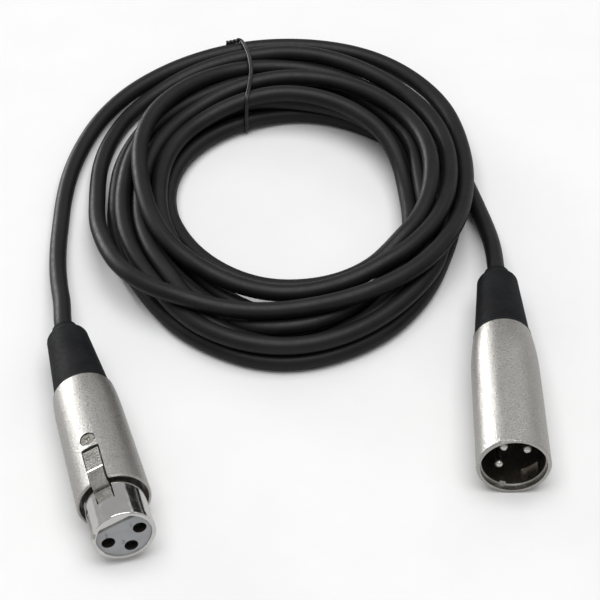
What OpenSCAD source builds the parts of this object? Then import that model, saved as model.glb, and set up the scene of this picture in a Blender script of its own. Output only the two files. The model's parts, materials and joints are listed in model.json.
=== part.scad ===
// Microphone cable, coiled and tied, with a three-pin plug on one end and a three-hole socket on the other.
// Origin: on the resting surface, midway between the two connectors. +Z is up, -Y is the way the plug points.

/* [Cable] */
// Outer diameter of the cable jacket
cable_d = 4.8; // [4.5:0.1:5.2]
// Width of the hole inside the coil
coil_hole_w = 65; // [62:1:68]
// Width of the coil over its outermost turns
coil_w = 111; // [108:1:114]
// Straight stretch on each side of the innermost turn
inner_straight = 6; // [4:1:8]
// Straight stretch on each side of the outermost turn
outer_straight = 24; // [20:1:26]
// Turns that lie on the surface; one turn fewer lies on top of them
floor_turns = 5; // [4:1:5]

/* [Tie] */
// Thickness of the tie's wire
tie_t = 1.2; // [1:0.1:1.5]
// Width of the tie's wire
tie_w = 2.4; // [2:0.1:3]
// Place of the tie round the coil, in degrees from +X
tie_angle = 105; // [100:1:110]

/* [Connectors] */
// Diameter of the plug's shell at its rim
rim_d = 19; // [18.8:0.1:19.2]
// Diameter of the socket's shell at its lip
lip_d = 18.9; // [18.8:0.1:19.3]
// Length of the plug's shell
male_shell_l = 46.5; // [46:0.5:49]
// Length of the socket's shell behind its lip
female_shell_l = 39; // [38.5:0.5:42]
// Length of the nose in front of the lip
nose_l = 12; // [11.5:0.5:12.5]
// Length of each boot behind its shell
boot_l = 26.5; // [25:0.5:27]

/* [Contacts] */
// Radius of the circle that the three contacts stand on
contact_r = 4.3; // [4.2:0.05:4.4]
// Diameter of a pin
pin_d = 2.4; // [2.3:0.05:2.4]
// Diameter of a socket's bore
socket_d = 2.5; // [2.45:0.05:2.55]

/* [Placement] */
// Plug's rim centre, along X
male_x = 55.5; // [54:0.1:58]
// Plug's rim centre, along Y
male_y = -24; // [-25:0.1:-23]
// Turn of the plug about its own axis
male_roll = -143.6; // [-180:0.1:180]
// Socket's lip centre, along X
female_x = -44.1; // [-46:0.05:-43]
// Socket's lip centre, along Y
female_y = -35.8; // [-37:0.05:-35]
// Turn of the socket about the vertical
female_yaw = 15; // [12:0.5:18]
// Turn of the socket about its own axis
female_roll = 22; // [-180:0.5:180]

/* [Hidden] */
$fn = 64;

// Centre of the coil on the surface
coil_centre = [-2.5, 86, 0];
inner_turn_r = (coil_hole_w + cable_d) / 2;
outer_turn_r = (coil_w - cable_d) / 2;
layer_rise = 0.86 * cable_d;
coil_h = cable_d + layer_rise;

// Reach of the bundle from the tie's frame, which stands at the middle turn's end
tie_straight = (inner_straight + outer_straight) / 2;
tie_in = coil_hole_w / 2 - (tie_straight - inner_straight) / 2 * sin(tie_angle);
tie_out = coil_w / 2 + (outer_straight - tie_straight) / 2 * sin(tie_angle);
tie_gap = 0.25;
tie_corner_r = 2.2;

// Shells: each tapers evenly from its front to the shoulder, then rounds in to the rear end
male_taper_l = 33;
male_shoulder_r = 8.99;
male_rear_r = 7.75;
female_taper_l = 31;
female_shoulder_r = 8.7;
female_rear_r = 8.1;
male_profile = [rim_d / 2, male_shoulder_r, male_taper_l, male_shell_l, male_rear_r];
female_profile = [lip_d / 2, female_shoulder_r, female_taper_l, female_shell_l, female_rear_r];
male_draft = atan((rim_d / 2 - male_shoulder_r) / male_taper_l);
female_draft = atan((lip_d / 2 - female_shoulder_r) / female_taper_l);

// A connector lies on the taper of its shell, so its axis rises to the front by the draft angle
male_z = rim_d / 2 * cos(male_draft);
female_z = lip_d / 2 * cos(female_draft);

// Male shell, from its rim (z = 0) backwards
mouth_r = 8.5;
mouth_l = 1.8;
cavity_r = 8.15;
cavity_l = 15.5;
male_insert_l = 8;
rear_bore_r = 6.2;
rear_bore_l = 13;
pin_tip_z = -2.7;
cup_l = 5;
root_step = 0.22;

// Female nose and insert, from the lip (z = 0) forwards
nose_r = 7.85;
bead_r = 8.0;
bead_l = 1.6;
bead_round = 0.4;
nose_bore_r = 6.9;
nose_back = 22;
insert_back = 19;
gap_r = 8.8;
gap_l = 4;
insert_flat = 4.3;
insert_recess = 0.4;
socket_mouth_r = 1.7;
socket_front = nose_l - 3.2;
socket_bore_l = 13;
socket_wall = 0.55;
keyway_angle = 144;
rib_angle = 36;
rib_w = 1.5;

// Latch: lever in a slot on the connector's +Y side, turning on a cross pin at its rear end
latch_w = 4.2;
latch_slot_w = 4.8;
latch_slot_back = 12;
pivot_z = -10.6;
pivot_y = 6.2;
pivot_r = 0.6;
pivot_l = 7.6;
spring_z = -6.6;
hook_back = 3;
hook_front = 5.2;

// Retaining screws
screw_head_r = 1.85;
screw_head_l = 0.85;
screw_sink = 0.3;
screw_shank_r = 1.1;
female_screw_z = -15;
male_screw_z = -20;
male_screw_tip = 6.2;

// Boots, clamps and wires
thread_l = 9;
thread_r = rear_bore_r - 0.05;
boot_r = 7.73;
boot_shoulder_r = 5.6;
collar_r = 3.45;
cable_r = cable_d / 2;
fit = 0.02;
clamp_r = 5.2;
slit_w = 0.8;
clamp_back = 4;
clamp_front = 9;
jacket_l = 10;
wire_r = 0.6;
pin_angles = [180, 0, 270];
socket_angles = [0, 180, 270];

// Axes of the connectors, towards the mate, and the rear ends of their boots
male_axis = [0, -cos(male_draft), sin(male_draft)];
female_axis = [
    sin(female_yaw) * cos(female_draft), -cos(female_yaw) * cos(female_draft), sin(female_draft)
];
male_end = [male_x, male_y, male_z] - (male_shell_l + boot_l) * male_axis;
female_end = [female_x, female_y, female_z] - (female_shell_l + boot_l) * female_axis;

// Routes of the cable's loose ends, from the jacket's cut end inside the shell, through the boot, to the coil
inside_l = [boot_l + jacket_l, boot_l, boot_l / 2, 1, -2];
female_route = [
    for (l = inside_l) female_end + l * female_axis,
    [-62.8, 40, 6.3], [-64, 47, 5.1], [-65.2, 56, 3.8], [-65.9, 66, 2.8], [-66, 76, 2.5], [-65.8, 87, 2.5],
    [-64.8, 98, 2.5], [-62.6, 108.5, 2.6], [-58.9, 118.8, 2.9], [-53.7, 128, 3.4], [-46.9, 135.8, 4],
    [-38.5, 141, 4.7], [-29.5, 142.8, 4.6]
];
male_route = [
    for (l = inside_l) male_end + l * male_axis,
    [55.4, 60, 6.9], [54.9, 67, 5.5], [54, 74, 4.1], [52.8, 81, 3], [51.3, 88, 2.5],
    [49.5, 95, 2.5], [47.2, 102, 2.5]
];
tube_sides = 12;

// ---------------------------------------------------------------- helpers

// Points of an arc in the plane, from angle a0 to angle a1
function arc(c, r, a0, a1, n) = [
    for (i = [0:n]) let (a = a0 + (a1 - a0) * i / n) [c.x + r * cos(a), c.y + r * sin(a)]
];

function unit(v) = v / norm(v);

// Outline of a rectangle with round corners, from its low corner to its high corner
function soft_box(low, high, r) = concat(
    arc([high.x - r, low.y + r], r, -90, 0, 6),
    arc([high.x - r, high.y - r], r, 0, 90, 6),
    arc([low.x + r, high.y - r], r, 90, 180, 6),
    arc([low.x + r, low.y + r], r, 180, 270, 6)
);

// A shell's outside is [front radius, radius at the end of the taper, taper length, whole length,
// rear radius].
// Its radius at z: an even taper, then a curve that rounds in to the rear end
function taper_r(shell, z) = shell[0] + (shell[0] - shell[1]) * z / shell[2];
function curve_drop(shell, z) =
    (taper_r(shell, -shell[3]) - shell[4]) * pow((-z - shell[2]) / (shell[3] - shell[2]), 2);
function shell_r(shell, z) = taper_r(shell, z) - (-z > shell[2] ? curve_drop(shell, z) : 0);

// Half outline of a shell's outside, as [radius, z] points from the front edge to the rear edge
function shell_outline(shell, edge) = concat(
    [[shell[0] - edge, 0], [shell[0], -edge]],
    [for (i = [0:8]) let (z = -shell[2] - (shell[3] - shell[2]) * i / 8) [shell_r(shell, z), z]]
);

// Sweep of a round tube along a route, with rings square to it; ref is a direction it never takes
function direction(p, i) =
    i == 0 ? unit(p[1] - p[0])
    : i == len(p) - 1 ? unit(p[i] - p[i - 1])
    : unit(unit(p[i + 1] - p[i]) + unit(p[i] - p[i - 1]));
function ring(c, d, r, n, ref) =
    let (side = unit(cross(d, ref)))
    let (up = cross(side, d))
    [for (k = [0:n - 1]) c + r * cos(360 * k / n) * side + r * sin(360 * k / n) * up];

module tube(p, r, n, ref) {
    count = len(p);
    points = [for (i = [0:count - 1]) for (q = ring(p[i], direction(p, i), r, n, ref)) q];
    walls = [
        for (i = [0:count - 2]) for (k = [0:n - 1])
            let (a = i * n + k, b = i * n + (k + 1) % n)
            for (t = [[a, b, a + n], [b, b + n, a + n]]) t
    ];
    start = [for (k = [1:n - 2]) [0, k + 1, k]];
    last = (count - 1) * n;
    end = [for (k = [1:n - 2]) [last, last + k, last + k + 1]];
    polyhedron(points, concat(walls, start, end));
}

// A solid cylinder from z0 to z1
module plug(z0, z1, r) {
    translate([0, 0, z0]) cylinder(h = z1 - z0, r = r);
}

// Block centred on x, from y0 to y1 and z0 to z1
module block(w, y0, y1, z0, z1) {
    translate([-w / 2, y0, z0]) cube([w, y1 - y0, z1 - z0]);
}

// Rod across the connector, centred on x
module cross_rod(l, r, y, z) {
    translate([-l / 2, y, z]) rotate([0, 90, 0]) cylinder(h = l, r = r, $fn = 32);
}

// Rod square to the axis at z, standing out on the latch side from y0 to y1
module side_rod(r, y0, y1, z) {
    translate([0, y0, z]) rotate([-90, 0, 0]) cylinder(h = y1 - y0, r = r, $fn = 48);
}

// Places a connector: its local +Z is its axis towards the mate, and +Y is its latch side
module place_male() {
    translate([male_x, male_y, male_z]) rotate([90 - male_draft, 0, 0]) rotate([0, 0, male_roll]) children();
}

module place_female() {
    translate([female_x, female_y, female_z])
        rotate([0, 0, female_yaw]) rotate([90 - female_draft, 0, 0]) rotate([0, 0, female_roll]) children();
}

// ---------------------------------------------------------------- cable

// Turn n is counted from the innermost turn on the surface; turns between them, on top, have half numbers
function turn_r(n) = inner_turn_r + (outer_turn_r - inner_turn_r) * n / (floor_turns - 1);
function turn_straight(n) = inner_straight + (outer_straight - inner_straight) * n / (floor_turns - 1);

// Sweeps a section round an oval whose ends have radius r
module oval(r, straight) {
    for (a = [0, 180])
        rotate([0, 0, a])
            translate([0, straight / 2, 0]) {
                rotate_extrude(angle = 180, $fn = 128) translate([r, 0]) children();
                rotate([90, 0, 0]) linear_extrude(straight) translate([r, 0]) children();
            }
}

module turn(n, z) {
    oval(turn_r(n), turn_straight(n)) translate([0, z]) circle(r = cable_r, $fn = 32);
}

module oval_disc(r, straight) {
    square([2 * r, straight], center = true);
    for (y = [-straight / 2, straight / 2])
        translate([0, y]) circle(r = r, $fn = 128);
}

// Ring that closes the spaces between the turns
module coil_core() {
    translate([0, 0, cable_r])
        linear_extrude(layer_rise)
            difference() {
                oval_disc(outer_turn_r, outer_straight);
                oval_disc(inner_turn_r, inner_straight);
            }
}

// The tie's frame: x along the coil's radius, y along the turns
module at_tie() {
    translate(coil_centre) translate([0, tie_straight / 2, 0]) rotate([0, 0, tie_angle]) children();
}

// Extrudes a section of the bundle over a length centred on the tie
module at_tie_section(l) {
    translate([0, l / 2, 0]) rotate([90, 0, 0]) linear_extrude(l) children();
}

// Section of the bundle at the tie, drawn in by the given amount all round
function tie_section(by) = soft_box([tie_in + by, by], [tie_out - by, coil_h - by], tie_corner_r);

module cable_coil() {
    color("#2b2b2c")
        difference() {
            translate(coil_centre) {
                for (n = [0:floor_turns - 1])
                    turn(n, cable_r);
                for (n = [0:floor_turns - 2])
                    turn(n + 0.5, cable_r + layer_rise);
                coil_core();
            }
            // groove that the tie pulls into the bundle
            at_tie()
                at_tie_section(tie_w + 2 * tie_gap)
                    difference() {
                        translate([tie_in - 3, -1]) square([tie_out - tie_in + 6, coil_h + 2]);
                        polygon(tie_section(tie_t + tie_gap));
                    }
        }
}

module cable_tail_female() {
    color("#2b2b2c") tube(female_route, cable_r, tube_sides, [0, 0, 1]);
}

module cable_tail_male() {
    color("#2b2b2c") tube(male_route, cable_r, tube_sides, [0, 0, 1]);
}

module twist_tie() {
    loop_r = 1.6;
    stalk_l = 4;
    color("#1d1d1e")
        at_tie() {
            at_tie_section(tie_w)
                difference() {
                    polygon(tie_section(0));
                    polygon(tie_section(tie_t));
                }
            // twisted ends, closed into a small loop, on the outer side
            translate([tie_out - 0.6, 0, coil_h * 0.7])
                rotate([0, 50, 0]) {
                    cylinder(h = stalk_l, r = tie_t * 0.8, $fn = 24);
                    translate([0, 0, stalk_l + loop_r])
                        rotate([90, 0, 0])
                            rotate_extrude($fn = 32) translate([loop_r, 0]) circle(r = tie_t / 2, $fn = 16);
                }
        }
}

// ---------------------------------------------------------------- female connector

module female_shell() {
    step_z = -nose_back - 2;
    inside = [
        [rear_bore_r, -female_shell_l], [rear_bore_r, step_z], [nose_r, step_z], [nose_r, -gap_l],
        [gap_r, -gap_l], [gap_r, 0]
    ];
    color("#b9b8b6")
        place_female()
            difference() {
                rotate_extrude() polygon(concat(shell_outline(female_profile, 0.25), inside));
                block(latch_slot_w, nose_r - 2, lip_d, -latch_slot_back, 1);
                screw_hole(female_screw_z, shell_r(female_profile, female_screw_z));
            }
}

// Countersunk hole for a retaining screw, square to the connector's axis
module screw_hole(z, surface) {
    side_rod(screw_shank_r + 0.05, 1, surface + 1, z);
    side_rod(screw_head_r + 0.2, surface - screw_head_l, surface + 1, z);
}

module female_nose() {
    keyway_w = 1.8;
    outline = concat(
        [[nose_bore_r, -nose_back], [nose_r - 0.02, -nose_back], [nose_r - 0.02, nose_l - bead_l - 0.15],
            [bead_r, nose_l - bead_l]],
        arc([bead_r - bead_round, nose_l - bead_round], bead_round, 0, 90, 5),
        [[nose_bore_r + 0.15, nose_l], [nose_bore_r, nose_l - 0.15]]
    );
    color("#d8d7d4")
        place_female()
            difference() {
                union() {
                    rotate_extrude() polygon(outline);
                    // webs over the insert's flat, in front of the latch and beside its pivot
                    web(hook_front + 0.4, nose_l - 0.9);
                    web(-nose_back, pivot_z + 1.6);
                }
                block(latch_slot_w, insert_flat - 1, nose_r + 1, -latch_slot_back, hook_front + 0.4);
                rotate([0, 0, keyway_angle])
                    translate([nose_r - 0.55, -keyway_w / 2, 0.5]) cube([2, keyway_w, nose_l]);
                // seats of the latch's cross pin and of the screw
                cross_rod(pivot_l, pivot_r + 0.01, pivot_y, pivot_z);
                side_rod(screw_shank_r + 0.02, 1, nose_r + 1, female_screw_z);
            }
}

// Segment of the nose's bore above the insert's flat
module web(z0, z1) {
    intersection() {
        plug(z0, z1, nose_bore_r + 0.2);
        block(4 * nose_bore_r, insert_flat + 0.05, nose_bore_r + 1, z0 - 1, z1 + 1);
    }
}

module female_insert() {
    front = nose_l - insert_recess;
    color("#8b8d92")
        place_female()
            difference() {
                intersection() {
                    plug(-insert_back, front, nose_bore_r - 0.05);
                    block(4 * nose_bore_r, -nose_bore_r - 1, insert_flat, -insert_back - 1, front + 1);
                }
                for (a = socket_angles)
                    rotate([0, 0, a])
                        translate([contact_r, 0, 0]) {
                            plug(-insert_back - 1, socket_front, socket_d / 2 + socket_wall + 0.03);
                            plug(socket_front - 0.5, nose_l, socket_mouth_r);
                        }
            }
}

// Contact number i of the socket: a slit tube with a solder cup at its rear
module female_contact(i) {
    outer = socket_d / 2 + socket_wall;
    back = -insert_back - 3.5;
    color("#c9c2ae")
        place_female()
            rotate([0, 0, socket_angles[i]])
                translate([contact_r, 0, 0])
                    difference() {
                        plug(back, socket_front, outer);
                        plug(socket_front - socket_bore_l, socket_front + 1, socket_d / 2);
                        translate([-0.2, -outer - 1, socket_front - 6]) cube([0.4, 2 * outer + 2, 8]);
                        plug(back - 1, back + cup_l - 1, wire_r + 0.3);
                    }
}

// ---------------------------------------------------------------- latch

// Side view of the lever as [z, y] points: underside, arm and hook, tab over the lip, then the press pad
lever_outline = [
    [-11.4, 5.5], [-10, 5.3], [-4, 5.6], [0, 5.7], [hook_front, 5.9], [hook_front, 7.2],
    [hook_back + 0.6, 8.45], [hook_back, 8.45], [hook_back, 7.6], [2.1, 7.7], [1.6, 9.1], [0.4, 10.1],
    [-3.1, 10.15], [-3.6, 9.6], [-4.3, 9.4], [-10.9, 9.15], [-11.4, 8.6]
];

module latch_lever() {
    ridges = 6;
    ridge_pitch = 1.05;
    ridge_r = 0.42;
    pad_y = 9.42;
    color("#c4c2be")
        place_female()
            difference() {
                translate([latch_w / 2, 0, 0])
                    rotate([0, -90, 0]) linear_extrude(latch_w) polygon(lever_outline);
                cross_rod(2 * latch_w, pivot_r + 0.05, pivot_y, pivot_z);
                // grooves between the pad's cross ridges
                for (k = [0:ridges - 1])
                    cross_rod(2 * latch_w, ridge_r, pad_y + 0.04 * k, pivot_z + ridge_pitch * k);
                // seat of the spring
                side_rod(1.35, 5, 7, spring_z);
            }
}

module latch_pivot() {
    color("#a9a8a5")
        place_female()
            cross_rod(pivot_l, pivot_r, pivot_y, pivot_z);
}

// Compression spring between the insert's flat and the lever
module latch_spring() {
    turns = 4;
    steps = 8;
    coil_r = 0.85;
    low = insert_flat + 0.2;
    rise = 2.25;
    helix = [
        for (i = [0:turns * steps]) let (a = 360 * i / steps)
            [coil_r * cos(a), low + rise * i / (turns * steps), spring_z + coil_r * sin(a)]
    ];
    color("#9a9a98") place_female() tube(helix, 0.17, 6, [0, 1, 0]);
}

// Cross-recess screw, with its head below the shell's surface
module screw(z, surface, tip) {
    recess = [2, 0.5, 1];
    difference() {
        union() {
            side_rod(screw_shank_r, tip, surface - 0.5, z);
            side_rod(screw_head_r, surface - screw_head_l, surface - screw_sink, z);
        }
        for (a = [45, 135])
            translate([0, surface - screw_sink, z]) rotate([-90, a, 0]) cube(recess, center = true);
    }
}

module female_screw() {
    color("#bdb9ae")
        place_female()
            screw(female_screw_z, shell_r(female_profile, female_screw_z), insert_flat + 0.05);
}

// ---------------------------------------------------------------- male connector

module male_shell() {
    step_z = rear_bore_l - male_shell_l;
    seat_z = -cavity_l - male_insert_l;
    inside = [
        [rear_bore_r, -male_shell_l], [rear_bore_r, step_z], [rear_bore_r + 0.4, step_z],
        [rear_bore_r + 0.4, seat_z], [cavity_r, seat_z],
        [cavity_r, -mouth_l], [mouth_r, -mouth_l], [mouth_r, 0]
    ];
    color("#b9b8b6")
        place_male()
            difference() {
                union() {
                    rotate_extrude() polygon(concat(shell_outline(male_profile, 0.3), inside));
                    // key rib
                    rotate([0, 0, rib_angle])
                        translate([cavity_r - 0.7, -rib_w / 2, -cavity_l])
                            cube([0.9, rib_w, cavity_l - mouth_l]);
                }
                // pocket that the socket's hook drops into
                block(5, cavity_r - 1, cavity_r + 0.65, -6.6, -2.6);
                screw_hole(male_screw_z, shell_r(male_profile, male_screw_z));
            }
}

module male_insert() {
    back = -cavity_l - male_insert_l;
    color("#1b1b1c")
        place_male()
            difference() {
                plug(back + 0.02, -cavity_l, cavity_r - 0.05);
                for (a = pin_angles)
                    rotate([0, 0, a])
                        translate([contact_r, 0, 0])
                            plug(back - 1, 1 - cavity_l, pin_d / 2 + root_step + fit);
                side_rod(screw_shank_r + 0.02, male_screw_tip - 0.1, cavity_r + 1, male_screw_z);
            }
}

// Contact number i of the plug: a pin with a domed tip, a thicker root in the insert and a solder cup
module male_pin(i) {
    r = pin_d / 2;
    root = r + root_step;
    back = -cavity_l - male_insert_l - cup_l;
    outline = concat(
        [[0, back], [root, back], [root, -cavity_l], [r, -cavity_l]],
        arc([0, pin_tip_z - r], r, 0, 90, 6)
    );
    color("#cfcabd")
        place_male()
            rotate([0, 0, pin_angles[i]]) translate([contact_r, 0, 0])
                difference() {
                    rotate_extrude($fn = 48) polygon(outline);
                    plug(back - 1, back + cup_l - 1, wire_r + 0.3);
                }
}

module male_screw() {
    color("#bdb9ae")
        place_male()
            screw(male_screw_z, shell_r(male_profile, male_screw_z), male_screw_tip);
}

// ---------------------------------------------------------------- boots, clamps and wires

// Boot behind a shell whose rear face is at z = 0, with a stub that screws into the shell
module boot() {
    shoulder_z = 5.6 - boot_l;
    shoulder_round = 1.5;
    collar = [
        [cable_r + fit, -boot_l], [collar_r - 0.3, -boot_l], [collar_r, 0.3 - boot_l],
        [collar_r + 0.1, 2.6 - boot_l]
    ];
    shoulder = arc([boot_shoulder_r - shoulder_round, shoulder_z - 0.9], shoulder_round, -70, 5, 6);
    front = [[boot_r - 0.35, -1.2], [boot_r, -0.6], [boot_r, -fit]];
    stub = [[thread_r, -fit], [thread_r, thread_l], [clamp_r + 0.1, thread_l], [clamp_r - 0.6, -clamp_back]];
    bore = [[cable_r + 0.7, 7 - boot_l], [cable_r + fit, 6 - boot_l]];
    color("#3a3b3e") rotate_extrude() polygon(concat(collar, shoulder, front, stub, bore));
}

// Slotted collet that the boot squeezes onto the jacket; its slots stop short of its rear
module clamp() {
    color("#5a5a5c")
        difference() {
            rotate_extrude()
                polygon([
                    [cable_r + fit, -clamp_back], [clamp_r - 0.7, -clamp_back], [clamp_r, clamp_front],
                    [cable_r + fit, clamp_front]
                ]);
            for (a = [0, 90])
                rotate([0, 0, a])
                    block(3 * clamp_r, -slit_w / 2, slit_w / 2, 1.5 - clamp_back, clamp_front + 1);
        }
}

module female_boot() {
    place_female() translate([0, 0, -female_shell_l]) boot();
}

module male_boot() {
    place_male() translate([0, 0, -male_shell_l]) boot();
}

module female_clamp() {
    place_female() translate([0, 0, -female_shell_l]) clamp();
}

module male_clamp() {
    place_male() translate([0, 0, -male_shell_l]) clamp();
}

// One conductor, from the end of the jacket into the solder cup at angle a, whose mouth is at z = cup
module wire(a, jacket, cup) {
    out = [cos(a), sin(a), 0];
    gap = cup - jacket;
    // distance from the axis and share of the gap at each bend
    into_cup = 1 + 3.5 / gap;
    bends = [[1.1, fit / gap], [1.2, 0.15], [2.2, 0.4], [3.6, 0.7], [contact_r, 0.95], [contact_r, into_cup]];
    route = [for (b = bends) b[0] * out + (jacket + b[1] * gap) * [0, 0, 1]];
    tube(route, wire_r, 8, [-sin(a), cos(a), 0]);
}

wire_colors = ["#b8b8b8", "#b03030", "#e8e4d8"];

module female_wire(i) {
    color(wire_colors[i])
        place_female() wire(socket_angles[i], -female_shell_l + jacket_l, -insert_back - 3.5);
}

module male_wire(i) {
    color(wire_colors[i])
        place_male() wire(pin_angles[i], -male_shell_l + jacket_l, -cavity_l - male_insert_l - cup_l);
}

cable_coil();
cable_tail_female();
cable_tail_male();
twist_tie();
female_shell();
female_nose();
female_insert();
female_contact(0);  // female_contact_1
female_contact(1);  // female_contact_2
female_contact(2);  // female_contact_3
latch_lever();
latch_pivot();
latch_spring();
female_screw();
female_boot();
female_clamp();
female_wire(0);  // female_wire_1
female_wire(1);  // female_wire_2
female_wire(2);  // female_wire_3
male_shell();
male_insert();
male_pin(0);  // male_pin_1
male_pin(1);  // male_pin_2
male_pin(2);  // male_pin_3
male_screw();
male_boot();
male_clamp();
male_wire(0);  // male_wire_1
male_wire(1);  // male_wire_2
male_wire(2);  // male_wire_3
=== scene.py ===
# Microphone cable in a coil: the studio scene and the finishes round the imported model.
import json
import math

import bpy
import numpy as np
from mathutils import Matrix, Vector


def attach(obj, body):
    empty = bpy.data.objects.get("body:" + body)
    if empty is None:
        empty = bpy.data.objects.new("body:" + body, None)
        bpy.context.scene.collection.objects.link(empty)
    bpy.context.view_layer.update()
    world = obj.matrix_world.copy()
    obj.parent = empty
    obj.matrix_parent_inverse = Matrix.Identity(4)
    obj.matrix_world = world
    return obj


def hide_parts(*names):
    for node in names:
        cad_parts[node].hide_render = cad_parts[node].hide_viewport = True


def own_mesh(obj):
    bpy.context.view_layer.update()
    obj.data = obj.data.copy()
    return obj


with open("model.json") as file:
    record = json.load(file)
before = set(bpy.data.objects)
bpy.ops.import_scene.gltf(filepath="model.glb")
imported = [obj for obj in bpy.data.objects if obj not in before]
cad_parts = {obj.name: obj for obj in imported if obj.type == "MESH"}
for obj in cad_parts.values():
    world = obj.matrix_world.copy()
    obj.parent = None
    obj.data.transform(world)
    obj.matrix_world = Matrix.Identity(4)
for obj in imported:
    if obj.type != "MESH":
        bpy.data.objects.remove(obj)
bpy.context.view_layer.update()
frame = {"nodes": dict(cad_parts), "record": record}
nodes = frame["nodes"]
scene = bpy.context.scene
MM = 0.001

# ---------------------------------------------------------------- camera
# The place and the lens from which the object looks as it does in the photograph.
AIM = Vector((1.8, 47.5, 0)) * MM
ELEVATION = 43
DISTANCE = 660.8 * MM
FOCAL_LENGTH = 144

lens = bpy.data.cameras.new("camera")
lens.lens = FOCAL_LENGTH
lens.sensor_width = 36
lens.clip_start = 0.05
lens.clip_end = 50
camera = bpy.data.objects.new("camera", lens)
scene.collection.objects.link(camera)
elevation = math.radians(ELEVATION)
camera.location = AIM + DISTANCE * Vector((0, -math.cos(elevation), math.sin(elevation)))
camera.rotation_euler = (math.pi / 2 - elevation, 0, 0)
scene.camera = camera

# ---------------------------------------------------------------- cable
CABLE_D = 4.8                     # cable jacket, mm
CABLE_R = CABLE_D / 2
CENTRE = np.array([-2.5, 86.0])   # middle of the coil
TIE_ANGLE = 105                   # where the tie goes round the turns
TIE_D = 0.8                       # each of the tie's two strands
STEP = 3.75                       # degrees between two points of the coil

# the connectors' rear ends and forward axes, as in the CAD model
BOOT_L, JACKET_L, SHELL_L = 26.5, 10, 39
FEMALE_END = np.array([-61.048, 27.45, 7.863])
FEMALE_AXIS = np.array([0.258743, -0.965643, 0.024186])
MALE_END = np.array([55.5, 48.991, 8.371])
MALE_AXIS = np.array([0, -0.999881, 0.015453])
# the routes of the two loose ends, from inside the connector to the coil, as in the CAD model
INSIDE = [BOOT_L + JACKET_L, BOOT_L, BOOT_L / 2, 1, -2]

FEMALE_ROUTE = [FEMALE_END + d * FEMALE_AXIS for d in INSIDE] + [
    (-62.8, 40, 6.3), (-64, 47, 5.1), (-65.2, 56, 3.8), (-65.9, 66, 2.8), (-66, 76, 2.5),
    (-65.8, 87, 2.5), (-64.8, 98, 2.5), (-62.6, 108.5, 2.6)]
MALE_ROUTE = [MALE_END + d * MALE_AXIS for d in INSIDE] + [
    (55.4, 60, 6.9), (54.9, 67, 5.5), (54, 74, 4.1), (52.8, 81, 3), (51.3, 88, 2.5),
    (49.5, 95, 2.5), (47.2, 102, 2.5)]

# Each turn as it runs clockwise from the far side (90 degrees), as (distance from the middle,
# height) at even steps: 16 places are 22.5 degrees apart, and fewer are 45 degrees apart.
COMING_IN = [(180, 64.5, 2.5), (157.5, 64.7, 2.7), (135, 67, 4)]
TURNS = [
    [(68.2, 6.7), (67.1, 6.8), (61.9, 6.8), (55, 7), (51.1, 7.4), (50.6, 9.5), (52, 10.9), (53, 11),
     (52.7, 8.2), (55.3, 8.2), (57.4, 9.2), (54.6, 6.5), (53.6, 2.4), (57, 2.4), (61.5, 2.4), (62.5, 6)],
    [(60.3, 9.2), (53.6, 9), (46.2, 9.5), (44.5, 9.8), (43.2, 6.8), (41.2, 9.2), (41, 10.4), (50.4, 9.8)],
    [(57.5, 7), (48.5, 6.6), (42.9, 6.5), (52.2, 6.7), (62.4, 6.6), (50.8, 6.6), (45.8, 6.6), (49, 6.6)],
    [(51.5, 6.8), (45, 6.6), (38.4, 6.5), (48.5, 6.7), (59.8, 2.4), (46, 6.6), (41, 6.6), (43.5, 7.5)],
    [(46.9, 11), (45.3, 11.2), (41.8, 10.8), (41.6, 5), (36.9, 2.4), (33.4, 2.4), (33.8, 2.4), (36.8, 2.4)],
    [(41, 2.4), (41.5, 2.4), (44, 2.4), (49, 2.4), (54.5, 2.4), (43.5, 2.4), (38.5, 2.4), (41.5, 2.4)],
    [(39.2, 6.9), (40, 6.6), (39.2, 2.4), (43.6, 2.4), (49.5, 2.4), (40, 3.5), (36.2, 6.6), (38.8, 7.5)],
    [(39.3, 10.6), (37.2, 9.5), (36.6, 4), (45, 6.8), (56.2, 6.6), (48.2, 2.4), (43.3, 2.4), (46, 2.4)],
    [(48, 2.4), (47.4, 2.4), (47.5, 2.4), (47.2, 2.9), (46.4, 4), (46, 3.4), (52.4, 2.4), (59.8, 2.4),
     (63.4, 2.4), (59.6, 2.4), (53.2, 2.4), (49.5, 2.4), (48, 2.4), (50.4, 2.4), (54, 2.4), (57.1, 2.4)],
    [(59, 2.4), (56, 2.4), (52.2, 2.4), (51.6, 2.4)],
]
FIRST, LAST = 150, 22.5 - 360 * 9         # angles at which the coil begins and ends

# how the drawn turns are let down
ROUNDS = 320
HELD_POINTS = 8                           # at each end, that stay where the routes meet them
SEEN_PULL = (0.08, 0.02)                  # back to the drawn look: what fades out, and what stays
HIDDEN_PULL = (0.03, 0.002)               # back to the drawn place along the line of sight
FALL = 0.004                              # mm in each round
CLEAR = CABLE_D * 1.015                   # how near two turns may come
GIVE = 0.35                               # share of an overlap that each turn gives way at once
TIE_REACH = 10                            # degrees from the tie over which it lifts the turns


def drawn(angle):
    """The drawn places as a smooth curve: (distance from the middle, height) at each angle."""
    at = [p[0] for p in COMING_IN]
    places = [p[1:] for p in COMING_IN]
    for n, turn in enumerate(TURNS):
        step = 360 / max(8, len(turn))
        at += [90 - 360 * n - step * k for k in range(len(turn))]
        places += turn
    x, y = -np.array(at, float), np.array(places, float)
    slope = np.gradient(y, x, axis=0)
    u = -np.asarray(angle)
    i = np.clip(np.searchsorted(x, u, "right") - 1, 0, len(x) - 2)
    w = (x[i + 1] - x[i])[:, None]
    t = (u - x[i])[:, None] / w
    return ((2 * t**3 - 3 * t**2 + 1) * y[i] + (t**3 - 2 * t**2 + t) * w * slope[i]
            + (3 * t**2 - 2 * t**3) * y[i + 1] + (t**3 - t**2) * w * slope[i + 1])


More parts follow.
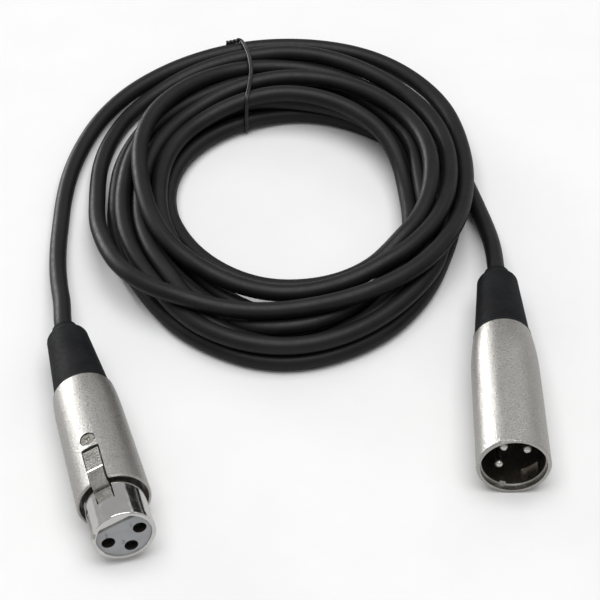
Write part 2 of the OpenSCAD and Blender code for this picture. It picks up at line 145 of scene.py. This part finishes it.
def settled_coil():
    """The turns of the coil, laid where TURNS says and then let down: each point keeps its angle
    and moves in radius and height, and turns closer than a diameter push each other away. A turn
    that has to rise moves along the line of sight, so that it still looks as drawn from the
    front. Where many turns cross, they stay pressed into each other by a few tenths of a mm."""
    angle = np.arange(FIRST, LAST - 0.01, -STEP)
    goal = drawn(angle)
    a = np.radians(angle)
    out = np.stack([np.cos(a), np.sin(a)], 1)
    from_tie = (angle - TIE_ANGLE + 180) % 360 - 180
    ground = CABLE_R + TIE_D * np.exp(-((from_tie / TIE_REACH) ** 2))
    count = len(angle)
    turn = round(360 / STEP)
    # each point meets the points of the other turns at its own angle, and two to each side
    i, j = [], []
    for gap in range(turn, count, turn):
        for side in (-2, -1, 0, 1, 2):
            k = np.arange(0, count - gap - side)
            k = k[k + gap + side < count]
            i.append(k)
            j.append(k + gap + side)
    i, j = np.concatenate(i), np.concatenate(j)
    held = np.clip(1 - np.arange(count) / HELD_POINTS, 0, 1)
    held = held + held[::-1]
    p = np.maximum(goal, [0, CABLE_R])
    sight = np.stack([np.ones(count), np.sin(a) / math.tan(math.radians(ELEVATION))], 1)
    sight /= np.linalg.norm(sight, axis=1)[:, None]
    for n in range(ROUNDS):
        early = 1 - n / ROUNDS
        off = goal - p
        seen = (off * sight).sum(1)[:, None] * sight
        p = p + np.clip(SEEN_PULL[0] * early + SEEN_PULL[1] + held, 0, 1)[:, None] * seen
        p = p + np.clip(HIDDEN_PULL[0] * early + HIDDEN_PULL[1] + held, 0, 1)[:, None] * (off - seen)
        p[:, 1] -= FALL * (1 - held)
        # a turn is stiff: what it is away from its drawn place is evened out along it
        off = p - goal
        for _ in range(4):
            off[1:-1] = (off[:-2] + 2 * off[1:-1] + off[2:]) / 4
        p = goal + off
        # turns that are too near each other give way, and none sinks into the ground
        for _ in range(3):
            xyz = np.concatenate([p[:, :1] * out, p[:, 1:]], 1)
            d = xyz[i] - xyz[j]
            far = np.sqrt((d**2).sum(1)) + 1e-9
            near = far < CLEAR
            ii, jj = i[near], j[near]
            push = d[near] * ((CLEAR - far[near]) / far[near])[:, None] * GIVE
            pi = np.stack([(push[:, :2] * out[ii]).sum(1), push[:, 2]], 1)
            pj = np.stack([(push[:, :2] * out[jj]).sum(1), push[:, 2]], 1)
            for axis in (0, 1):
                p[:, axis] += np.bincount(ii, pi[:, axis], count) - np.bincount(jj, pj[:, axis], count)
            p[:, 1] = np.maximum(p[:, 1], ground)
    return np.concatenate([CENTRE + p[:, :1] * out, p[:, 1:]], 1)


def even(points, spacing):
    """The same line with its points evenly spaced."""
    points = np.asarray(points, float)
    s = np.concatenate([[0], np.cumsum(np.linalg.norm(np.diff(points, axis=0), axis=1))])
    at = np.linspace(0, s[-1], max(2, round(s[-1] / spacing) + 1))
    return np.stack([np.interp(at, s, points[:, k]) for k in range(points.shape[1])], 1)


def through(points, spacing):
    """A smooth line through unevenly spaced points."""
    points = np.asarray(points, float)
    ends = np.concatenate([[2 * points[0] - points[1]], points, [2 * points[-1] - points[-2]]])
    line = []
    for k in range(1, len(ends) - 2):
        p0, p1, p2, p3 = ends[k - 1:k + 3]
        t = [0.0]
        for a, b in ((p0, p1), (p1, p2), (p2, p3)):
            t.append(t[-1] + math.sqrt(np.linalg.norm(b - a)))
        for u in np.linspace(t[1], t[2], 12, endpoint=False):
            a1 = (t[1] - u) / (t[1] - t[0]) * p0 + (u - t[0]) / (t[1] - t[0]) * p1
            a2 = (t[2] - u) / (t[2] - t[1]) * p1 + (u - t[1]) / (t[2] - t[1]) * p2
            a3 = (t[3] - u) / (t[3] - t[2]) * p2 + (u - t[2]) / (t[3] - t[2]) * p3
            b1 = (t[2] - u) / (t[2] - t[0]) * a1 + (u - t[0]) / (t[2] - t[0]) * a2
            b2 = (t[3] - u) / (t[3] - t[1]) * a2 + (u - t[1]) / (t[3] - t[1]) * a3
            line.append((t[2] - u) / (t[2] - t[1]) * b1 + (u - t[1]) / (t[2] - t[1]) * b2)
    line.append(points[-1])
    return even(line, spacing)


def tube(name, points, radius, sides):
    """A round tube as a curve of one open spline. points are in mm."""
    data = bpy.data.curves.new(name, "CURVE")
    data.dimensions = "3D"
    data.bevel_depth = 1.0
    data.bevel_resolution = sides // 4
    data.use_fill_caps = True
    data.twist_mode = "MINIMUM"
    line = data.splines.new("POLY")
    line.points.add(len(points) - 1)
    for point, p in zip(line.points, points):
        point.co = (*(c * MM for c in p), 1)
        point.radius = radius * MM
    line.use_smooth = True
    thing = bpy.data.objects.new(name, data)
    scene.collection.objects.link(thing)
    return thing


coil = settled_coil()
cable_line = through(np.concatenate([FEMALE_ROUTE, coil[::2], MALE_ROUTE[::-1]]), spacing=1.5)
cable = tube("cable", cable_line, CABLE_R, sides=24)
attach(cable, "cable")
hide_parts("cable_coil", "cable_tail_female", "cable_tail_male")

# ---------------------------------------------------------------- tie
# The tie stands in an upright plane across the far side of the coil.
TIE_FOOT = np.array([-14.0, 119.0, 0])    # below the innermost turn
TIE_WAY = np.array([-0.058, 0.998, 0])    # outwards
TIE_SIDE = np.array([0.998, 0.058, 0])
TIE_BULGE = 2.3                           # how far the middle of the top is pulled to the side
TIE_RISE = 3                              # height over which that sets in
TIE_BESIDE = 0.52                         # half the two strands' spacing, as a share of TIE_D
INNER, OUTER = -8, 50                     # how far from TIE_FOOT the turns can be


def crossings(line, beside=0.0):
    """Where the line passes the tie's plane, or a plane beside it, as (distance outwards, height)."""
    s = (line - TIE_FOOT) @ TIE_SIDE - beside
    found = []
    for k in np.nonzero(s[:-1] * s[1:] <= 0)[0]:
        p = line[k] + (line[k + 1] - line[k]) * s[k] / (s[k] - s[k + 1])
        d = (p - TIE_FOOT) @ TIE_WAY
        if INNER < d < OUTER:
            found.append((d, p[2]))
    return np.array(found)


def hull(centres, radius, steps=120):
    """Outline round equal circles."""
    way = np.linspace(0, 2 * math.pi, steps, endpoint=False)
    way = np.stack([np.cos(way), np.sin(way)], 1)
    return np.array([centres[np.argmax(centres @ w)] + radius * w for w in way])


OUT_AND_UP = np.array([1, 0.9])           # towards the outermost of the top turns
outline = hull(crossings(coil), CABLE_R + TIE_D / 2)
rim = even(np.concatenate([outline, outline[:1]]), spacing=0.6)[:-1]
rim = np.roll(rim, -int(np.argmax(rim @ OUT_AND_UP)), axis=0)
first, last = rim[:, 0].min(), rim[:, 0].max()
middle_z = rim[:, 1].mean()


def at_tie(d, z, side):
    """A place on the tie: its distance outwards, its height and how far it is beside the plane."""
    top = max(0.0, min(1.0, (z - middle_z) / TIE_RISE))
    side += TIE_BULGE * top * math.sin(math.pi * (d - first) / (last - first))
    return TIE_FOOT + d * TIE_WAY + side * TIE_SIDE + np.array([0, 0, z])


wraps = [at_tie(d, z, side) for (d, z), side in zip(
    np.concatenate([rim, rim, rim[:1]]), np.linspace(-TIE_BESIDE, TIE_BESIDE, 2 * len(rim) + 1) * TIE_D)]
TOP_EDGE = 0.74 * TIE_WAY + np.array([0, 0, 0.67])       # out of the outermost turn's upper edge
ACROSS = 0.67 * TIE_WAY - np.array([0, 0, 0.74])         # square to that, down the turn's outside
TAIL_START, TAIL_END = 0.5, 4.5           # of the twisted end, beside the tie's plane
TAIL_LIFT, TAIL_RISE = 0.75, 0.85         # above the turn, in strands, and how much more at its start
TAIL_FALL = 1.2                           # how fast that more dies away, per mm
TAIL_TWIST = 2.8                          # radians per mm


def pigtail(phase):
    """One leg of the short twisted end, which lies along the outermost turn."""
    leg = []
    for s in np.linspace(TAIL_START, TAIL_END, 42):
        d, z = max(crossings(coil, -s), key=lambda c: c @ OUT_AND_UP)
        lift = CABLE_R + TIE_D * (TAIL_LIFT + TAIL_RISE * math.exp(-TAIL_FALL * s))
        turn = phase + TAIL_TWIST * s
        leg.append(TIE_FOOT + d * TIE_WAY - s * TIE_SIDE + np.array([0, 0, z]) + lift * TOP_EDGE
                   + TIE_D * TIE_BESIDE * (math.cos(turn) * TOP_EDGE + math.sin(turn) * ACROSS))
    return leg


tie_line = even(np.concatenate([pigtail(0)[::-1], wraps, pigtail(math.pi)]), spacing=0.3)
for _ in range(3):
    tie_line[1:-1] = (tie_line[:-2] + 2 * tie_line[1:-1] + tie_line[2:]) / 4
tie = tube("tie", tie_line, TIE_D / 2, sides=16)
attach(tie, "cable")
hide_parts("twist_tie")

# ---------------------------------------------------------------- socket's numbers and spring
SOCKET_TURN = 22                          # degrees that the socket is turned about its axis
LATCH_SIDE = 90                           # where the latch is round the socket
CONTACT_R = 4.3                           # the contacts' distance from the axis
CONTACT_SIDES = (0, 180, 270)             # where contacts 1, 2 and 3 are round the socket
INSERT_FACE = 11.61                       # just ahead of the insert's face, from the lip
NUMBER_SIZE, NUMBER_DEPTH = 1.9, 0.02


def socket_frame():
    """The socket's own directions: across it, above it and forwards."""
    across = np.array([-FEMALE_AXIS[1], FEMALE_AXIS[0], 0])
    across /= np.linalg.norm(across)
    return across, np.cross(FEMALE_AXIS, across), FEMALE_AXIS


def socket_place(distance, around, z):
    """A place in the socket: its distance from the axis, the angle round it, and z ahead of the lip."""
    turned = math.radians(SOCKET_TURN + around)
    across, above, ahead = socket_frame()
    return (FEMALE_END + (SHELL_L + BOOT_L + z) * ahead
            + distance * (math.cos(turned) * across + math.sin(turned) * above))


# the contact's number beside each hole, as (number, how far across and above the hole)
numbers = []
for side, (number, dx, dz) in zip(CONTACT_SIDES, (("1", -2.1, 1.2), ("2", -0.4, 2.4), ("3", -1.9, 1.6))):
    data = bpy.data.curves.new("number_" + number, "FONT")
    data.body = number
    data.size = NUMBER_SIZE * MM
    data.extrude = NUMBER_DEPTH * MM
    data.align_x, data.align_y = "CENTER", "CENTER"
    mark = bpy.data.objects.new("number_" + number, data)
    scene.collection.objects.link(mark)
    directions = socket_frame()
    place = socket_place(CONTACT_R, side, INSERT_FACE) + dx * directions[0] + dz * directions[1]
    rows = [(*row, c * MM) for row, c in zip(np.stack(directions, 1), place)]
    mark.matrix_world = Matrix(rows + [(0, 0, 0, 1)])
    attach(mark, "cable")
    numbers.append(mark)

SPRING_FOOT, SPRING_TOP = 4.33, 6.92      # distances from the socket's axis
SPRING_Z = -6.6                           # behind the lip
SPRING_R, SPRING_WIRE, SPRING_TURNS = 0.85, 0.17, 4
latch_way = socket_place(1, LATCH_SIDE, 0) - socket_place(0, LATCH_SIDE, 0)
latch_across = socket_place(1, 0, 0) - socket_place(0, 0, 0)
spring_turn = np.linspace(0, SPRING_TURNS * 2 * math.pi, SPRING_TURNS * 24 + 1)
spring_height = np.linspace(SPRING_FOOT + SPRING_WIRE, SPRING_TOP - SPRING_WIRE, len(spring_turn))
spring_wire = tube("spring_wire", [
    socket_place(y, LATCH_SIDE, SPRING_Z + SPRING_R * math.sin(a)) + SPRING_R * math.cos(a) * latch_across
    for a, y in zip(spring_turn, spring_height)], SPRING_WIRE, sides=12)
spring = bpy.data.objects.new("spring", bpy.data.meshes.new_from_object(spring_wire))
scene.collection.objects.link(spring)
bpy.data.objects.remove(spring_wire)
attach(spring, "cable")
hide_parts("latch_spring")
tuple(socket_place(SPRING_FOOT, LATCH_SIDE, SPRING_Z) * MM)
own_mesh(spring)


# ---------------------------------------------------------------- finishes
class Finish:
    """A procedural material. Places are in metres, so a scale of 1000 has 1 mm features."""

    def __init__(self, name, colour, roughness, metallic=0.0, **more):
        self.m = bpy.data.materials.new(name)
        self.m.use_nodes = True
        self.n = self.m.node_tree.nodes
        self.l = self.m.node_tree.links
        self.shader = self.n["Principled BSDF"]
        self.shader.inputs["Base Color"].default_value = (*colour, 1)
        self.shader.inputs["Roughness"].default_value = roughness
        self.shader.inputs["Metallic"].default_value = metallic
        for socket, value in more.items():
            socket = socket.replace("_", " ").title().replace("Ior", "IOR")
            self.shader.inputs[socket].default_value = value
        self.place = self.n.new("ShaderNodeTexCoord").outputs["Object"]
        self.height = None

    def noise(self, scale, detail=3, rough=0.55):
        """Soft noise from 0 to 1."""
        node = self.n.new("ShaderNodeTexNoise")
        node.inputs["Scale"].default_value = scale
        node.inputs["Detail"].default_value = detail
        node.inputs["Roughness"].default_value = rough
        self.l.new(self.place, node.inputs["Vector"])
        return node.outputs["Fac"]

    def times(self, a, b):
        """a times b."""
        node = self.n.new("ShaderNodeMath")
        node.operation = "MULTIPLY"
        self.l.new(a, node.inputs[0])
        self.l.new(b, node.inputs[1])
        return node.outputs["Value"]

    def spread(self, value, low, high, start=0.3, end=0.7):
        """The value's range from start to end, spread from low to high."""
        node = self.n.new("ShaderNodeMapRange")
        for socket, number in (("From Min", start), ("From Max", end), ("To Min", low), ("To Max", high)):
            node.inputs[socket].default_value = number
        self.l.new(value, node.inputs["Value"])
        return node.outputs["Result"]

    def colour(self, value, low, high):
        """A base colour that goes from low to high as the value rises."""
        node = self.n.new("ShaderNodeValToRGB")
        ramp = node.color_ramp.elements
        ramp[0].position, ramp[1].position = 0.35, 0.65
        ramp[0].color, ramp[1].color = (*low, 1), (*high, 1)
        self.l.new(value, node.inputs["Fac"])
        self.l.new(node.outputs["Color"], self.shader.inputs["Base Color"])

    def inside(self, point, axis, radius, length):
        """1 in the cylinder that starts at point and runs along axis, else 0. Sizes are in mm."""
        out = self.n.new("ShaderNodeVectorMath")
        out.operation = "SUBTRACT"
        out.inputs[1].default_value = [float(c) * MM for c in point]
        self.l.new(self.place, out.inputs[0])
        cross = self.n.new("ShaderNodeVectorMath")
        cross.operation = "CROSS_PRODUCT"
        cross.inputs[1].default_value = [float(c) for c in axis]
        self.l.new(out.outputs["Vector"], cross.inputs[0])
        size = self.n.new("ShaderNodeVectorMath")
        size.operation = "LENGTH"
        self.l.new(cross.outputs["Vector"], size.inputs[0])
        ahead = self.n.new("ShaderNodeVectorMath")
        ahead.operation = "DOT_PRODUCT"
        ahead.inputs[1].default_value = [float(c) for c in axis]
        self.l.new(out.outputs["Vector"], ahead.inputs[0])
        soft, softer = 0.02, 0.1
        near = self.spread(size.outputs["Value"], 1, 0, (radius - soft) * MM, (radius + soft) * MM)
        along = ahead.outputs["Value"]
        past = self.spread(along, 0, 1, 0, softer * MM)
        before = self.spread(along, 1, 0, (length - softer) * MM, length * MM)
        return self.times(near, self.times(past, before))

    def shade(self, value, colour):
        """Mixes the colour in where value is 1."""
        base = self.shader.inputs["Base Color"]
        node = self.n.new("ShaderNodeMix")
        node.data_type = "RGBA"
        node.inputs["B"].default_value = (*colour, 1)
        self.l.new(base.links[0].from_socket, node.inputs["A"])
        self.l.new(value, node.inputs["Factor"])
        self.l.new(node.outputs["Result"], base)

    def roughness(self, value, low, high):
        """A roughness that goes from low to high as the value rises."""
        self.l.new(self.spread(value, low, high), self.shader.inputs["Roughness"])

    def bump(self, value, depth, strength=1.0):
        """Relief of this depth in metres, over any that was added before."""
        node = self.n.new("ShaderNodeBump")
        node.inputs["Strength"].default_value = strength
        node.inputs["Distance"].default_value = depth
        self.l.new(value, node.inputs["Height"])
        if self.height is not None:
            self.l.new(self.height, node.inputs["Normal"])
        self.height = node.outputs["Normal"]
        self.l.new(self.height, self.shader.inputs["Normal"])
        return self                       # so that a coarser relief can follow


jacket = Finish("jacket", (0.008, 0.0077, 0.0077), 0.46, specular_ior_level=0.32)
jacket.colour(jacket.noise(90, 4), (0.0055, 0.0052, 0.0052), (0.0105, 0.0098, 0.0096))
jacket.roughness(jacket.noise(700, 3), 0.4, 0.52)
jacket.bump(jacket.noise(2600, 2), 0.00003, 0.5).bump(jacket.noise(260, 2), 0.00008, 0.4)

rubber = Finish("boot_rubber", (0.009, 0.009, 0.0098), 0.6, specular_ior_level=0.12)
rubber.colour(rubber.noise(160, 4), (0.0062, 0.0064, 0.0074), (0.0115, 0.012, 0.0135))
rubber.roughness(rubber.noise(900, 3), 0.55, 0.7)
rubber.bump(rubber.noise(4200, 2), 0.00003, 0.6)

tie_skin = Finish("tie_skin", (0.01, 0.01, 0.01), 0.35)
tie_skin.colour(tie_skin.noise(500, 3), (0.006, 0.006, 0.006), (0.016, 0.016, 0.016))
tie_skin.roughness(tie_skin.noise(1500, 2), 0.28, 0.42)
tie_skin.bump(tie_skin.noise(1800, 2), 0.00004, 0.5)


def satin_finish(name):
    """The casings' satin plate, with its fine grain."""
    metal = Finish(name, (0.58, 0.57, 0.55), 0.27, 1.0)
    metal.colour(metal.noise(2600, 3, 0.6), (0.5, 0.488, 0.46), (0.69, 0.674, 0.64))
    metal.roughness(metal.noise(1900, 3, 0.6), 0.25, 0.38)
    metal.bump(metal.noise(2300, 3, 0.6), 0.00017, 0.8)
    return metal


# the countersink round the socket's screw is in shade
SCREW_Z, SINK_FOOT, SINK_R, SINK_L = -15, 8.1, 2.07, 1.4
satin_socket = satin_finish("satin_nickel_socket")
countersink = satin_socket.inside(socket_place(SINK_FOOT, LATCH_SIDE, SCREW_Z), latch_way, SINK_R, SINK_L)
satin_socket.shade(countersink, (0.05, 0.047, 0.043))
# the plug's cavity is in shade behind the step in its mouth
CAVITY_START, CAVITY_R, CAVITY_L = 56, 8.9, 15.1
satin_plug = satin_finish("satin_nickel_plug")
cavity = satin_plug.inside(MALE_END + CAVITY_START * MALE_AXIS, MALE_AXIS, CAVITY_R, CAVITY_L)
satin_plug.shade(cavity, (0.42, 0.38, 0.34))

polished = Finish("polished_nickel", (0.84, 0.83, 0.81), 0.1, 1.0)
polished.colour(polished.noise(150, 4), (0.8, 0.79, 0.77), (0.88, 0.87, 0.85))
polished.roughness(polished.noise(700, 4), 0.07, 0.16)
polished.bump(polished.noise(500, 2), 0.00002, 0.3)

latch_metal = Finish("latch_metal", (0.5, 0.485, 0.455), 0.22, 1.0)
latch_metal.colour(latch_metal.noise(260, 4), (0.42, 0.405, 0.375), (0.58, 0.565, 0.535))
latch_metal.roughness(latch_metal.noise(1400, 3), 0.2, 0.34)
latch_metal.bump(latch_metal.noise(2600, 2), 0.00002, 0.3)

steel = Finish("steel", (0.62, 0.6, 0.57), 0.25, 1.0)
steel.colour(steel.noise(400, 4), (0.5, 0.48, 0.45), (0.7, 0.68, 0.64))
steel.roughness(steel.noise(1500, 3), 0.18, 0.36)
steel.bump(steel.noise(2200, 2), 0.00004, 0.4)

contact = Finish("contact_metal", (0.82, 0.8, 0.76), 0.14, 1.0)
contact.colour(contact.noise(400, 3), (0.76, 0.74, 0.7), (0.86, 0.845, 0.81))
contact.roughness(contact.noise(1500, 3), 0.1, 0.22)
contact.bump(contact.noise(1400, 2), 0.00002, 0.3)

grey = Finish("grey_plastic", (0.34, 0.345, 0.355), 0.42)
grey.colour(grey.noise(300, 4), (0.31, 0.315, 0.325), (0.37, 0.375, 0.385))
grey.roughness(grey.noise(1200, 3), 0.36, 0.52)
grey.bump(grey.noise(3000, 2), 0.00003, 0.5)
# the holes over the three contacts are in shade
HOLE_Z, HOLE_R, HOLE_L = -5, 1.73, 20
for side in CONTACT_SIDES:
    hole = grey.inside(socket_place(CONTACT_R, side, HOLE_Z), FEMALE_AXIS, HOLE_R, HOLE_L)
    grey.shade(hole, (0.022, 0.019, 0.016))

number_skin = Finish("number_skin", (0.16, 0.162, 0.168), 0.5)
number_skin.colour(number_skin.noise(900, 3), (0.13, 0.132, 0.138), (0.19, 0.192, 0.198))
number_skin.roughness(number_skin.noise(1500, 2), 0.44, 0.58)

black = Finish("black_plastic", (0.012, 0.011, 0.0105), 0.38)
black.colour(black.noise(300, 4), (0.009, 0.0085, 0.008), (0.018, 0.0165, 0.0155))
black.roughness(black.noise(1200, 3), 0.32, 0.48)
black.bump(black.noise(3000, 2), 0.00003, 0.5)

clamp = Finish("clamp_plastic", (0.03, 0.03, 0.031), 0.45)
clamp.colour(clamp.noise(300, 4), (0.022, 0.022, 0.023), (0.04, 0.04, 0.041))
clamp.roughness(clamp.noise(1200, 3), 0.38, 0.54)
clamp.bump(clamp.noise(2600, 2), 0.00003, 0.5)


def wire(name, dark, light):
    """The insulation of a conductor."""
    skin = Finish(name, light, 0.4)
    skin.colour(skin.noise(500, 3), dark, light)
    skin.roughness(skin.noise(1600, 3), 0.34, 0.5)
    skin.bump(skin.noise(2600, 2), 0.00003, 0.4)
    return skin


screen = wire("wire_screen", (0.2, 0.2, 0.21), (0.28, 0.28, 0.29))
red = wire("wire_red", (0.35, 0.015, 0.012), (0.48, 0.025, 0.02))
white = wire("wire_white", (0.62, 0.61, 0.58), (0.74, 0.73, 0.7))

by_slot = {
    "polished_nickel": polished, "latch_metal": latch_metal, "steel": steel, "contact_metal": contact,
    "grey_plastic": grey, "black_plastic": black, "boot_rubber": rubber, "clamp_plastic": clamp,
    "wire_screen": screen, "wire_red": red, "wire_white": white,
}
by_node = {"male_shell": satin_plug, "female_shell": satin_socket}


def finish(thing, skin):
    """Gives the thing this one material."""
    thing.data.materials.clear()
    thing.data.materials.append(skin.m)


finish(cable, jacket)
finish(tie, tie_skin)
finish(spring, steel)
for mark in numbers:
    finish(mark, number_skin)
for part in frame["record"]["subparts"]:
    name, slot = part["node"], part["material_slot"]
    if not nodes[name].hide_render:
        finish(nodes[name], by_node.get(name) or by_slot[slot])

# ---------------------------------------------------------------- studio
JUST_BELOW = 0.0001                       # the floor, under the object


def rectangle(name, width, depth):
    """A flat mesh object round its own origin."""
    mesh = bpy.data.meshes.new(name)
    w, h = width / 2, depth / 2
    mesh.from_pydata([(-w, -h, 0), (w, -h, 0), (w, h, 0), (-w, h, 0)], [], [(0, 1, 2, 3)])
    thing = bpy.data.objects.new(name, mesh)
    scene.collection.objects.link(thing)
    return thing


def face(thing, where, aim):
    """Puts the thing in its place, turned towards aim."""
    thing.location = where
    thing.rotation_euler = (Vector(aim) - Vector(where)).to_track_quat("-Z", "Y").to_euler()


floor = rectangle("floor", 12, 12)
paper = Finish("paper", (0.9, 0.9, 0.9), 0.8, specular_ior_level=0.1)
paper.colour(paper.noise(40, 4), (0.885, 0.885, 0.885), (0.905, 0.905, 0.905))
finish(floor, paper)
floor.location.z = -JUST_BELOW

world = bpy.data.worlds.new("studio")
scene.world = world
world.use_nodes = True
world.node_tree.nodes["Background"].inputs["Color"].default_value = (1, 1, 1, 1)
world.node_tree.nodes["Background"].inputs["Strength"].default_value = 0.35


def softbox(name, where, aim, size, power):
    """A soft rectangular light."""
    data = bpy.data.lights.new(name, "AREA")
    data.shape = "RECTANGLE"
    data.size, data.size_y = size
    data.energy = power
    lamp = bpy.data.objects.new(name, data)
    scene.collection.objects.link(lamp)
    face(lamp, where, aim)


def card(name, where, aim, size, grey_level):
    """A plain card, seen only in the metal: a flag beside the lights, or a darker copy of the floor that
    paints shade into the floor's reflection.
    """
    thing = rectangle(name, *size)
    face(thing, where, aim)
    thing.visible_camera = False
    thing.visible_diffuse = False
    thing.visible_shadow = False
    skin = Finish(name, (grey_level,) * 3, 0.9, specular_ior_level=0.0)
    skin.colour(skin.noise(10, 2), (grey_level * 0.9,) * 3, (grey_level,) * 3)
    finish(thing, skin)


# the key light makes the stripe along the casings, and the flag is the dark band beside it
MIDDLE = (0, 0.03, 0)
softbox("key", where=(-1.0, 1.1, 0.19), aim=MIDDLE, size=(0.75, 0.4), power=7.8)
softbox("side", where=(0.75, 1.2, 0.83), aim=MIDDLE, size=(0.5, 0.5), power=1.0)
softbox("top", where=(0, -0.1, 1.7), aim=(0, 0.05, 0), size=(1.8, 1.6), power=26)
card("flag", where=(0.41, 0.92, 0.3), aim=MIDDLE, size=(0.3, 0.56), grey_level=0.01)
# this grey card under the object is a darker copy of the floor, seen only in the metal: painted shade on
# the floor as the casings reflect it
card("shaded_floor_in_metal", where=(0, 0, -JUST_BELOW / 2), aim=(0, 0, -1), size=(4, 4), grey_level=0.55)

scene.view_settings.view_transform = "Standard"
scene.view_settings.look = "None"
